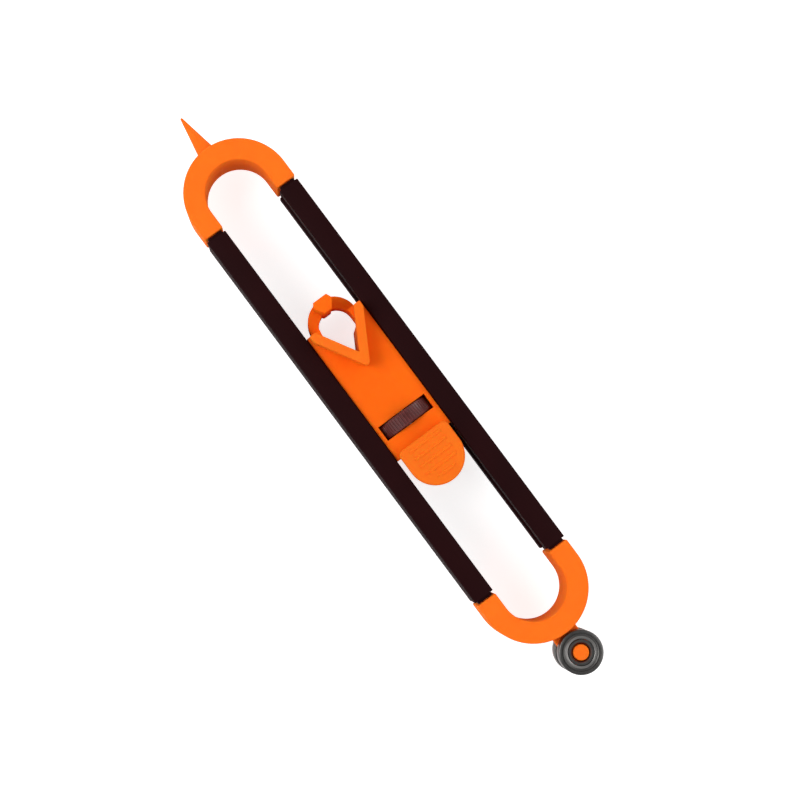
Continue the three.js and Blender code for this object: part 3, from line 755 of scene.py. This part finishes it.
def add_arch(centre_y, towards):
    """An end cap's half ring: its section is drawn along a leg, spun, and drawn on as a leg."""
    size = sizes()
    inner, outer = window_radius(), frame_radius()
    low, high = frame_levels()
    middle = (low + high) / 2
    start = centre_y - towards * size.cap_leg
    place = ((inner + outer) / 2, start, middle)
    bpy.ops.mesh.primitive_plane_add(size=1, location=place, rotation=AXES["Y"][1])
    piece = bpy.context.object
    piece.scale = (outer - inner, high - low, 1)
    with editing(settle(piece)):
        extrude(y=towards * size.cap_leg)
        turn, pivot = -towards * math.pi, (0, centre_y, middle)
        bpy.ops.mesh.spin(steps=48, angle=turn, center=pivot, axis=(0, 0, 1))
        extrude(y=-towards * size.cap_leg)
        clean_mesh()
    return round_edges(piece, size.cap_edge, 4, 50)


def add_tongues(piece, towards):
    """Draws a tongue out of each leg's end, set back from the carriage's own tongues."""
    size = sizes()
    wall = size.rail_wall + GAP
    carriage_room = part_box("carriage_body")[1].x + GAP
    inner = window_radius()
    with editing(piece):
        pick("FACE", facing((0, -towards, 0), 0.9999))
        bpy.ops.mesh.inset(thickness=wall - size.cap_edge, use_individual=True)
        mesh = bmesh.from_edit_mesh(piece.data)
        for point in mesh.verts:
            if point.select and abs(point.co.x) < inner + 2 * wall:
                point.co.x = math.copysign(carriage_room, point.co.x)
        bmesh.update_edit_mesh(piece.data)
        draw_out(size.tongue)


class GAUGE_OT_pointer_cap(Operator):
    """Makes the end cap that carries the pointer"""

    bl_idname = "gauge.pointer_cap"
    bl_label = "Pointer end cap"

    def execute(self, context):
        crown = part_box("pointer_end_cap")[1].y - sizes().pointer
        piece = add_arch(crown - frame_radius(), 1)
        add_tongues(piece, 1)
        join(piece, self.pointer(crown))
        dress(piece, "cap.pointer_end", "cap", "frame", "pointer_end_cap")
        return {"FINISHED"}

    def pointer(self, crown):
        """A slim cone that runs out of the crown in a short flare and ends in a rounded tip."""
        size = sizes()
        root, flare, tip = size.pointer_root, size.pointer_flare, size.pointer_tip
        rise, drop = 0.9 * MM, 0.8 * MM
        profile = [(0, -3 * drop), (flare, -3 * drop), (flare, -drop)]
        steps = 6
        for step in range(1, steps + 1):
            share = step / steps
            radius = flare + (root - flare) * (1 - (1 - share) ** 2)
            profile.append((radius, -drop + (rise + drop) * share))
        shoulder = size.pointer - tip
        profile.append((tip * 1.05, shoulder))
        for angle in (30, 60, 85):
            turn = math.radians(angle)
            profile.append((tip * math.cos(turn), shoulder + tip * math.sin(turn)))
        profile.append((0, size.pointer))
        return add_turned(profile, (0, crown, middle_level()), "Y", 48)


class GAUGE_OT_wheel_cap(Operator):
    """Makes the end cap with the arm and the stubs that carry the two bearings"""

    bl_idname = "gauge.wheel_cap"
    bl_label = "Wheel end cap"

    def execute(self, context):
        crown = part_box("left_rail")[0].y - sizes().cap_leg - GAP
        piece = add_arch(crown, -1)
        add_tongues(piece, -1)
        join(piece, self.arm(crown))
        for side, place in ((FRONT, "front"), (BACK, "rear")):
            join(piece, self.stub(side, place))
        dress(piece, "cap.wheel_end", "cap", "frame", "wheel_end_cap")
        return {"FINISHED"}

    def arm(self, crown):
        """A round plate, cut in half at the wheels' axis and drawn out into the arch."""
        size = sizes()
        centre = wheel_centre()
        level = Vector((0, 0, middle_level()))
        half = Vector((0, 0, size.arm_half_height))
        overlap = 2 * MM
        piece = add_round(size.arm_half_width, centre + level - half, centre + level + half)
        with editing(piece):
            trim(centre + level, (0, 1, 0))
            pick("FACE", facing((0, 1, 0)))
            extrude(y=crown - frame_radius() + overlap - centre.y)
            clean_mesh()
        return round_edges(piece, 0.4 * MM, 3, 60)

    def stub(self, side, place):
        """A collar and, drawn out of it, the stub that the bearing stands on."""
        size = sizes()
        low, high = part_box(place + "_bearing_outer_ring")
        middle = middle_level()
        seat = (low.z if side == FRONT else high.z) - side * GAP - middle
        end = (high.z if side == FRONT else low.z) - middle
        edge = 0.3 * MM
        profile = [
            (0, 0),
            (size.collar, 0),
            (size.collar, seat),
            (size.stub, seat),
            (size.stub, end - side * edge),
            (size.stub - edge / 3, end - side * edge / 3),
            (size.stub - edge, end),
            (0, end),
        ]
        return add_turned(profile, wheel_centre() + Vector((0, 0, middle)), "Z", 64)


class GAUGE_OT_bearings(Operator):
    """Makes the two ball bearings: rings, shields, cages and balls"""

    bl_idname = "gauge.bearings"
    bl_label = "Bearings"

    def execute(self, context):
        for place in ("front", "rear"):
            low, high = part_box(place + "_bearing_outer_ring")
            centre = (low + high) / 2
            wheel, cage = place + "_wheel", place + "_ball_cage"
            ring = self.outer_ring(centre, high)
            self.fit(ring, place, "outer_ring", "bearing", wheel)
            ring = self.inner_ring(place, centre)
            self.fit(ring, place, "inner_ring", "bearing", "frame")
            for side, part in ((FRONT, "upper_shield"), (BACK, "lower_shield")):
                shield = self.shield(f"{place}_bearing_{part}", centre, side)
                self.fit(shield, place, part, "shield", wheel)
            self.fit(self.cage(place, centre), place, "cage", "bearing", cage)
            for number in range(1, sizes().balls + 1):
                part = f"ball_{number}"
                ball = self.ball(f"{place}_bearing_{part}")
                self.fit(ball, place, part, "bearing", cage)
        return {"FINISHED"}

    def fit(self, piece, place, part, finish, body):
        dress(piece, f"bearing.{place}_{part}", finish, body, f"{place}_bearing_{part}")

    def groove(self, radius, depth, half_width):
        """Points of a ball groove, from its back edge to its front edge."""
        angles = [math.pi * step / 8 for step in range(9)]
        return [(radius + depth * math.sin(turn), -half_width * math.cos(turn)) for turn in angles]

    def outer_ring(self, centre, high):
        half = high.z - centre.z
        outer = high.x - centre.x
        bore, seat, edge = 6 * MM, 6.35 * MM, 0.35 * MM
        step = half - 0.7 * MM
        profile = [
            (seat, -half),
            (outer - edge, -half),
            (outer - edge / 3, edge / 3 - half),
            (outer, edge - half),
            (outer, half - edge),
            (outer - edge / 3, half - edge / 3),
            (outer - edge, half),
            (seat + edge / 2, half),
            (seat, half - edge / 2),
            (seat, step),
            (bore, step),
        ]
        profile += reversed(self.groove(bore, 0.6 * MM, 1.3 * MM))
        profile += [(bore, -step), (seat, -step)]
        return add_turned(profile, centre)

    def inner_ring(self, place, centre):
        low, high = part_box(place + "_bearing_inner_ring")
        half = (high.z - low.z) / 2
        outer = high.x - centre.x
        bore, edge, chamfer = 3.05 * MM, 0.3 * MM, 0.5 * MM
        profile = [
            (bore, chamfer - half),
            (bore + chamfer, -half),
            (outer - edge / 2, -half),
            (outer, edge / 2 - half),
        ]
        profile += self.groove(outer, -0.45 * MM, 1.3 * MM)
        profile += [
            (outer, half - edge / 2),
            (outer - edge / 2, half),
            (bore + chamfer, half),
            (bore, half - chamfer),
        ]
        return add_turned(profile, centre)

    def shield(self, node, centre, side):
        """A thin disc pressed with a raised land, a sunk band round it and a curled rim."""
        low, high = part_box(node)
        outer = high.x - centre.x
        top = (high.z if side == FRONT else low.z) - centre.z
        under = (low.z if side == FRONT else high.z) - centre.z
        sheet = (top - under) / 2
        inner, land, band, rim = 4.55 * MM, SHIELD_LAND, SHIELD_BAND, outer - 0.3 * MM
        profile = [
            (inner, top - sheet / 2),
            (inner + 0.15 * MM, top),
            (land, top),
            (band, top - sheet),
            (rim - 0.2 * MM, top - sheet),
            (rim, top - sheet / 4),
            (outer, top - sheet / 2),
            (outer, under),
            (band - 0.15 * MM, under),
            (land - 0.1 * MM, top - sheet),
            (inner, top - sheet),
        ]
        return add_turned(profile, centre)

    def cage(self, place, centre):
        """A thin band with a round pocket at each ball."""
        low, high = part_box(place + "_bearing_cage")
        half = (high.z - low.z) / 2
        wall, pocket = 0.4 * MM, 1.35 * MM
        edge = wall / 4
        outer = high.x - centre.x
        inner = outer - wall
        profile = [
            (inner, edge - half),
            (inner + edge, -half),
            (outer - edge, -half),
            (outer, edge - half),
            (outer, half - edge),
            (outer - edge, half),
            (inner + edge, half),
            (inner, half - edge),
        ]
        piece = add_turned(profile, centre)
        count = sizes().balls
        for number in range(count):
            angle = math.tau * number / count
            outwards = Vector((math.cos(angle), math.sin(angle), 0))
            drill = add_round(pocket, (0, 0, -2 * wall), (0, 0, 2 * wall), "X", 24)
            drill.rotation_euler.z = angle
            drill.location = centre + outwards * (outer - wall / 2)
            cut(piece, settle(drill))
        return piece

    def ball(self, node):
        """A cube, divided and pushed out to a sphere."""
        low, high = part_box(node)
        radius = 1.1 * MM
        bpy.ops.mesh.primitive_cube_add(size=2 * radius)
        piece = bpy.context.object
        with editing(piece):
            bpy.ops.mesh.subdivide(number_cuts=7)
            bpy.ops.transform.tosphere(value=1)
            mesh = bmesh.from_edit_mesh(piece.data)
            stretch = radius / max(point.co.length for point in mesh.verts)
            bpy.ops.transform.resize(value=(stretch,) * 3, center_override=(0, 0, 0))
        piece.location = (low + high) / 2
        return settle(piece)


class GAUGE_OT_carriage(Operator):
    """Makes the carriage's front half and its back half"""

    bl_idname = "gauge.carriage"
    bl_label = "Carriage"

    def execute(self, context):
        for part in ("body", "base"):
            piece = round_edges(merged_copy("carriage_" + part), sizes().carriage_edge)
            dress(piece, "carriage." + part, "carriage", "carriage", "carriage_" + part)
        return {"FINISHED"}


class GAUGE_OT_cover_screws(Operator):
    """Makes the four small screws that close the carriage"""

    bl_idname = "gauge.cover_screws"
    bl_label = "Cover screws"

    def execute(self, context):
        model = self.screw()
        first = self.centre("cover_screw_1")
        for number in range(1, 5):
            node = f"cover_screw_{number}"
            piece = model.copy()
            piece.data = model.data.copy()
            context.scene.collection.objects.link(piece)
            piece.location = self.centre(node) - first
            dress(settle(piece), f"screw.cover_{number}", "plated", "carriage", node)
        bpy.data.objects.remove(model, do_unlink=True)
        return {"FINISHED"}

    def centre(self, node):
        low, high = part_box(node)
        return Vector(((low.x + high.x) / 2, (low.y + high.y) / 2, low.z))

    def screw(self):
        """A pan head with a cross recess, on a coarse thread with a blunt point."""
        centre = self.centre("cover_screw_1")
        low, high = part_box("cover_screw_1")
        length = high.z - low.z
        head, head_height, shank, root = 1.5 * MM, 1.4 * MM, 0.8 * MM, 0.6 * MM
        profile = [
            (0, 0),
            (head * 0.55, 0),
            (head * 0.85, 0.12 * MM),
            (head, 0.45 * MM),
            (head, head_height),
            (root, head_height),
        ]
        pitch = 0.8 * MM
        height = head_height + pitch
        while height < length - pitch:
            rise = pitch * 0.35
            profile += [(root, height - rise), (shank, height), (root, height + rise)]
            height += pitch
        profile += [(root * 0.6, length), (0, length)]
        piece = add_turned(profile, centre, "Z", 32)
        reach, half, depth = 0.85 * MM, 0.2 * MM, 0.6 * MM
        for corner in (Vector((reach, half, depth)), Vector((half, reach, depth))):
            cut(piece, add_block(centre - corner, centre + corner))
        return piece


class GAUGE_OT_pencil_jaw(Operator):
    """Makes the V jaw that grips the pencil"""

    bl_idname = "gauge.pencil_jaw"
    bl_label = "Pencil jaw"

    def execute(self, context):
        piece = round_edges(merged_copy("pencil_jaw"), sizes().jaw_edge)
        dress(piece, "jaw.pencil_v", "jaw", "jaw", "pencil_jaw")
        return {"FINISHED"}


class GAUGE_OT_adjuster(Operator):
    """Makes the ridged thumbwheel and the screw that it turns"""

    bl_idname = "gauge.adjuster"
    bl_label = "Thumbwheel and screw"

    def execute(self, context):
        dress(self.wheel(), "adjuster.thumbwheel", "wheel", "adjuster", "thumbwheel")
        dress(self.screw(), "adjuster.screw", "plated", "adjuster", "jaw_screw", smooth=50)
        return {"FINISHED"}

    def wheel(self):
        """A round bar whose rim points are set in and out by turns, with chamfered rims."""
        size = sizes()
        low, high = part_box("thumbwheel")
        centre = (low + high) / 2
        radius = (high.x - low.x) / 2
        half = (high.y - low.y) / 2
        edge, bore = 0.45 * MM, 2.3 * MM
        per_ridge = 4
        count = per_ridge * size.wheel_ridges
        side = Vector((0, half - edge, 0))
        piece = add_round(radius, centre - side, centre + side, "Y", count)
        valley = radius - size.wheel_ridge

        def in_valley(point):
            angle = math.atan2(point.co.x - centre.x, point.co.z - centre.z)
            return round(angle / math.tau * count) % per_ridge in (2, 3)

        with editing(piece):
            pick("VERT", in_valley)
            share = valley / radius
            bpy.ops.transform.resize(value=(share, 1, share), center_override=centre)
            pick("FACE", end_on)
            draw_out(edge)
            share = (radius - edge) / radius
            bpy.ops.transform.resize(value=(share, 1, share), center_override=centre)
        ring_outer, ring_inner = radius - 2 * MM, 3.6 * MM
        for face_side in (LEFT, RIGHT):
            face = centre + Vector((0, face_side * half, 0))
            above, below = face_side * 0.2 * MM, -face_side * 0.5 * MM
            profile = [
                (ring_outer, above),
                (ring_outer, below),
                (ring_inner, below),
                (ring_inner, above),
            ]
            cut(piece, add_turned(profile, face, "Y", 72))
        beyond = Vector((0, half + MM, 0))
        return cut(piece, add_round(bore, centre - beyond, centre + beyond, "Y", 48))

    def screw(self):
        """A thread swept round the screw's axis, with its ends cut square and filled."""
        size = sizes()
        low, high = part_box("jaw_screw")
        centre = (low + high) / 2
        radius = (high.x - low.x) / 2
        root = radius - size.thread_depth
        pitch = size.thread_pitch
        bpy.ops.mesh.primitive_plane_add(size=1)
        piece = bpy.context.object
        outline = [
            (root, 0),
            (root, 0.3 * pitch),
            (radius, 0.45 * pitch),
            (radius, 0.85 * pitch),
            (root, pitch),
        ]
        with editing(piece):
            bpy.ops.mesh.merge(type="CENTER")
            bpy.ops.transform.translate(value=(root, low.y - pitch, 0))
            for (x, y), (next_x, next_y) in zip(outline, outline[1:]):
                step = (next_x - x, next_y - y, 0)
                bpy.ops.mesh.extrude_vertices_move(TRANSFORM_OT_translate={"value": step})
        piece.location = (centre.x, 0, centre.z)
        sweep(piece, "Y", pitch, math.ceil((high.y - low.y) / pitch) + 2, 32)
        with editing(settle(piece)):
            clean_mesh()
            for end, side in ((low.y, -1), (high.y, 1)):
                trim((0, end, 0), (0, side, 0))
            clean_mesh()
        return piece


class GAUGE_OT_thumb_lever(Operator):
    """Makes the ribbed thumb lever"""

    bl_idname = "gauge.thumb_lever"
    bl_label = "Thumb lever"

    def execute(self, context):
        piece = round_edges(merged_copy("thumb_lever"), sizes().lever_edge, angle=30)
        dress(piece, "lever.thumb", "jaw", "lever", "thumb_lever")
        return {"FINISHED"}


class GAUGE_OT_brake(Operator):
    """Makes the lever's pin and spring and its two rubber pads"""

    bl_idname = "gauge.brake"
    bl_label = "Pin, spring and pads"

    def execute(self, context):
        dress(self.pin(), "brake.pin", "plated", "carriage", "lever_pin")
        spring = dress(self.spring(), "brake.spring", "spring", "carriage", "lever_spring")
        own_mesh(spring)
        for node in ("left_brake_pad", "right_brake_pad"):
            dress(self.pad(node), "brake." + node, "pad", "lever", node)
        return {"FINISHED"}

    def pin(self):
        low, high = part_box("lever_pin")
        centre = (low + high) / 2
        half = Vector(((high.x - low.x) / 2, 0, 0))
        radius = (high.z - low.z) / 2
        piece = add_round(radius, centre - half, centre + half, "X", 48)
        return round_edges(piece, 0.25 * MM, 3, 60)

    def spring(self):
        """A round of wire, swept up the spring's axis as one helix, with its ends filled."""
        size = sizes()
        low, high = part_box("lever_spring")
        centre = (low + high) / 2
        wire = size.spring_wire
        radius = (high.x - low.x) / 2 - wire
        pitch = (high.z - low.z - 2 * wire) / size.spring_coils
        place = (radius, 0, 0)
        bpy.ops.mesh.primitive_circle_add(
            vertices=12, radius=wire, location=place, rotation=AXES["Y"][1]
        )
        piece = settle(bpy.context.object)
        sweep(piece, "Z", pitch, size.spring_coils, 36)
        with editing(piece):
            clean_mesh()
            for end in (0, pitch * size.spring_coils):
                pick("EDGE", lambda edge: edge.is_boundary and all(
                    abs(point.co.z - end) < 1.01 * wire for point in edge.verts
                ))
                bpy.ops.mesh.edge_face_add()
            clean_mesh()
        piece.location = (centre.x, centre.y, low.z + wire)
        return settle(piece)

    def pad(self, node):
        """A block of rubber with a shallow tread pressed into its underside."""
        low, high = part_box(node)
        piece = add_block(low, high)
        with editing(piece):
            pick("FACE", facing((0, 0, -1)))
            bpy.ops.mesh.inset(thickness=0.4 * MM)
            extrude(z=0.25 * MM)
        return round_edges(piece, 0.1 * MM, 2, 40)


class GAUGE_PT_panel(Panel):
    """Lists the gauge's sizes, its colours and the operators that make its pieces"""

    bl_idname = "GAUGE_PT_panel"
    bl_label = "Contour gauge"
    bl_space_type = "VIEW_3D"
    bl_region_type = "UI"
    bl_category = "Gauge"

    def draw(self, context):
        layout = self.layout
        for group in (context.scene.gauge_sizes, context.scene.gauge_colours):
            column = layout.column()
            for name in group.__annotations__:
                column.prop(group, name)
        for operator in OPERATORS:
            layout.operator(operator.bl_idname)


OPERATORS = (
    GAUGE_OT_stage,
    GAUGE_OT_rails,
    GAUGE_OT_pointer_cap,
    GAUGE_OT_wheel_cap,
    GAUGE_OT_bearings,
    GAUGE_OT_carriage,
    GAUGE_OT_cover_screws,
    GAUGE_OT_pencil_jaw,
    GAUGE_OT_adjuster,
    GAUGE_OT_thumb_lever,
    GAUGE_OT_brake,
)
CLASSES = (GaugeSizes, GaugeColours, *OPERATORS, GAUGE_PT_panel)


def register():
    for kind in CLASSES:
        bpy.utils.register_class(kind)
    bpy.types.Scene.gauge_sizes = PointerProperty(type=GaugeSizes)
    bpy.types.Scene.gauge_colours = PointerProperty(type=GaugeColours)


def unregister():
    del bpy.types.Scene.gauge_colours
    del bpy.types.Scene.gauge_sizes
    for kind in reversed(CLASSES):
        bpy.utils.unregister_class(kind)


def main():
    """Makes the whole gauge."""
    register()
    bpy.ops.gauge.stage()
    bpy.ops.gauge.rails()
    bpy.ops.gauge.pointer_cap()
    bpy.ops.gauge.wheel_cap()
    bpy.ops.gauge.bearings()
    bpy.ops.gauge.carriage()
    bpy.ops.gauge.cover_screws()
    bpy.ops.gauge.pencil_jaw()
    bpy.ops.gauge.adjuster()
    bpy.ops.gauge.thumb_lever()
    bpy.ops.gauge.brake()


if __name__ == "__main__":
    main()
